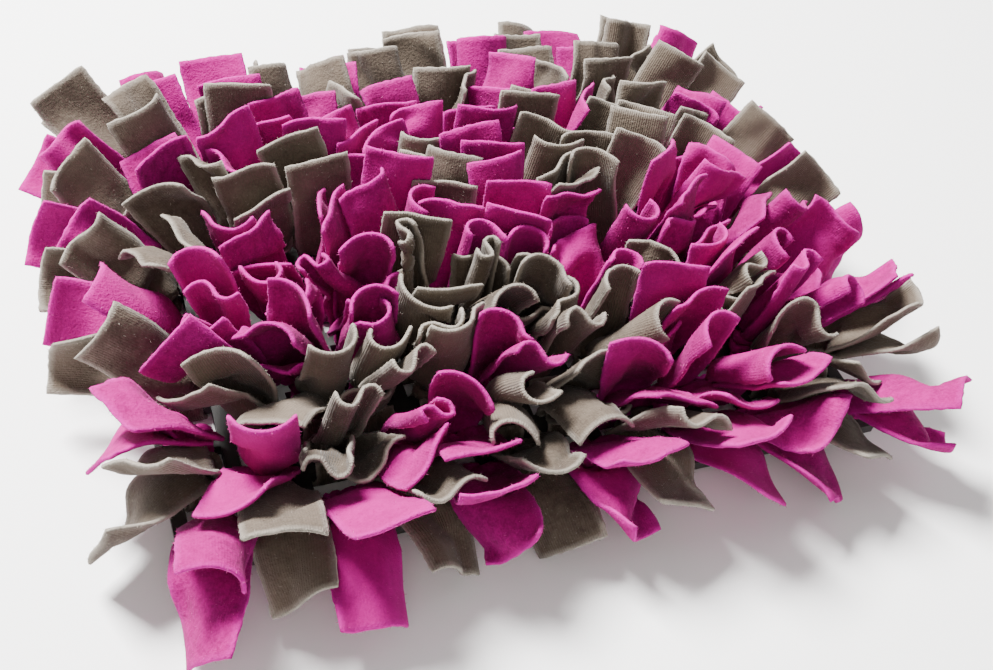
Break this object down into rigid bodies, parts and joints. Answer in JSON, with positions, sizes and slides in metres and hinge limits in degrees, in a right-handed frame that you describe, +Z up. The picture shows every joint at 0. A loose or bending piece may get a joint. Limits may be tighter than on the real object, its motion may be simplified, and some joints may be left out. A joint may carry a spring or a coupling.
{
  "type": "snuffle mat",
  "caption": "Snuffle mat: magenta and grey fleece strips tied in rows through a rubber lattice, tails upright in the middle and drooping round the rim.",
  "frame": {"origin": "middle of the bounds in plan, on the floor under the mat", "axes": "+X along the long side, +Y across from the near rows to the far rows, +Z up"},
  "size_m": [0.3874, 0.321, 0.0779],
  "materials": {
    "rubber": "matte",
    "magenta_fleece": "matte",
    "grey_fleece": "matte"
  },
  "bodies": {
    "root": {"base_lattice": "rubber", "grey_row_1": "grey_fleece", "grey_row_10": "grey_fleece", "grey_row_2": "grey_fleece", "grey_row_3": "grey_fleece", "grey_row_4": "grey_fleece", "grey_row_5": "grey_fleece", "grey_row_6": "grey_fleece", "grey_row_7": "grey_fleece", "grey_row_8": "grey_fleece", "grey_row_9": "grey_fleece", "magenta_row_1": "magenta_fleece", "magenta_row_10": "magenta_fleece", "magenta_row_2": "magenta_fleece", "magenta_row_3": "magenta_fleece", "magenta_row_4": "magenta_fleece", "magenta_row_5": "magenta_fleece", "magenta_row_6": "magenta_fleece", "magenta_row_7": "magenta_fleece", "magenta_row_8": "magenta_fleece", "magenta_row_9": "magenta_fleece"}
  },
  "joints": []
}
